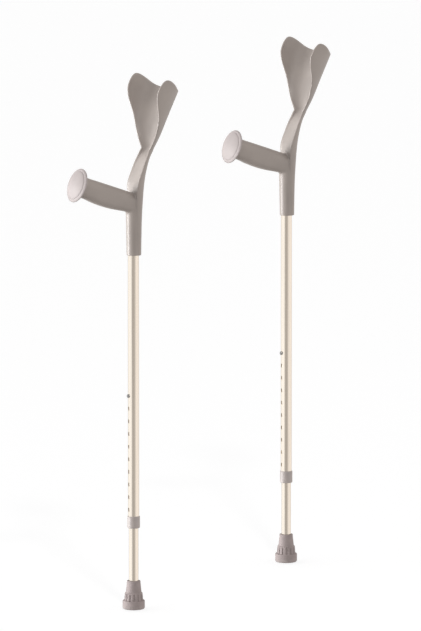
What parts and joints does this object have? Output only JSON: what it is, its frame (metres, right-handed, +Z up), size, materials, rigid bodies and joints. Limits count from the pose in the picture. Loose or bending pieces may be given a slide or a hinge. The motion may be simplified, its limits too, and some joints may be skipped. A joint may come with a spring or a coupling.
{
  "type": "pair of forearm crutches",
  "caption": "Pair of height-adjustable forearm crutches with open moulded cuffs, cantilever grips, snap-button aluminium tubes and rubber ferrules",
  "frame": {"origin": "on the floor, at the centre of the left crutch's ferrule; the mount left_foot", "axes": "Z up along the stems; the grips point forward, towards -X; the right crutch stands at (0.523, 0.304), both facing the same way"},
  "size_m": [0.753, 0.4292, 1.0471],
  "materials": {
    "handle_plastic": "warm grey moulded plastic with a fine matte texture",
    "cap_plastic": "lighter warm grey moulded plastic, satin",
    "collar_plastic": "grey moulded plastic, satin",
    "guide_plastic": "natural slippery plastic",
    "anodised_tube": "satin anodised, drawn along its length",
    "button_steel": "plain bright steel",
    "spring_steel": "rolled spring steel",
    "ferrule_rubber": "matte grey moulded rubber"
  },
  "bodies": {
    "left_lower": {"left_inner_tube": "anodised_tube", "left_inner_tube_guide": "guide_plastic", "left_button_spring": "spring_steel", "left_ferrule": "ferrule_rubber", "left_ferrule_washer": "spring_steel"},
    "left_button": {"left_snap_button": "button_steel"},
    "left_upper": {"left_handle": "handle_plastic", "left_grip_end_cap": "cap_plastic", "left_outer_tube": "anodised_tube", "left_handle_screw": "button_steel", "left_tube_collar": "collar_plastic"},
    "right_lower": {"right_inner_tube": "anodised_tube", "right_inner_tube_guide": "guide_plastic", "right_button_spring": "spring_steel", "right_ferrule": "ferrule_rubber", "right_ferrule_washer": "spring_steel"},
    "right_button": {"right_snap_button": "button_steel"},
    "right_upper": {"right_handle": "handle_plastic", "right_grip_end_cap": "cap_plastic", "right_outer_tube": "anodised_tube", "right_handle_screw": "button_steel", "right_tube_collar": "collar_plastic"}
  },
  "joints": [
    {"name": "left_height", "type": "slide", "parent": "left_lower", "child": "left_upper", "axis": [0, 0, 1], "range_m": [0, 0.225], "deforming": ["left_snap_button"]},
    {"name": "left_button_press", "type": "slide", "parent": "left_lower", "child": "left_button", "axis": [1, 0, 0], "range_m": [0, 0.005], "stiffness_N_per_m": 600, "springref_m": -0.002, "deforming": ["left_button_spring"]},
    {"name": "right_lift", "type": "slide", "parent": "left_lower", "child": "right_lower", "axis": [0, 0, 1], "range_m": [0, 0.3]},
    {"name": "right_height", "type": "slide", "parent": "right_lower", "child": "right_upper", "axis": [0, 0, 1], "range_m": [0, 0.225], "deforming": ["right_snap_button"]},
    {"name": "right_button_press", "type": "slide", "parent": "right_lower", "child": "right_button", "axis": [1, 0, 0], "range_m": [0, 0.005], "stiffness_N_per_m": 600, "springref_m": -0.002, "deforming": ["right_button_spring"]}
  ]
}
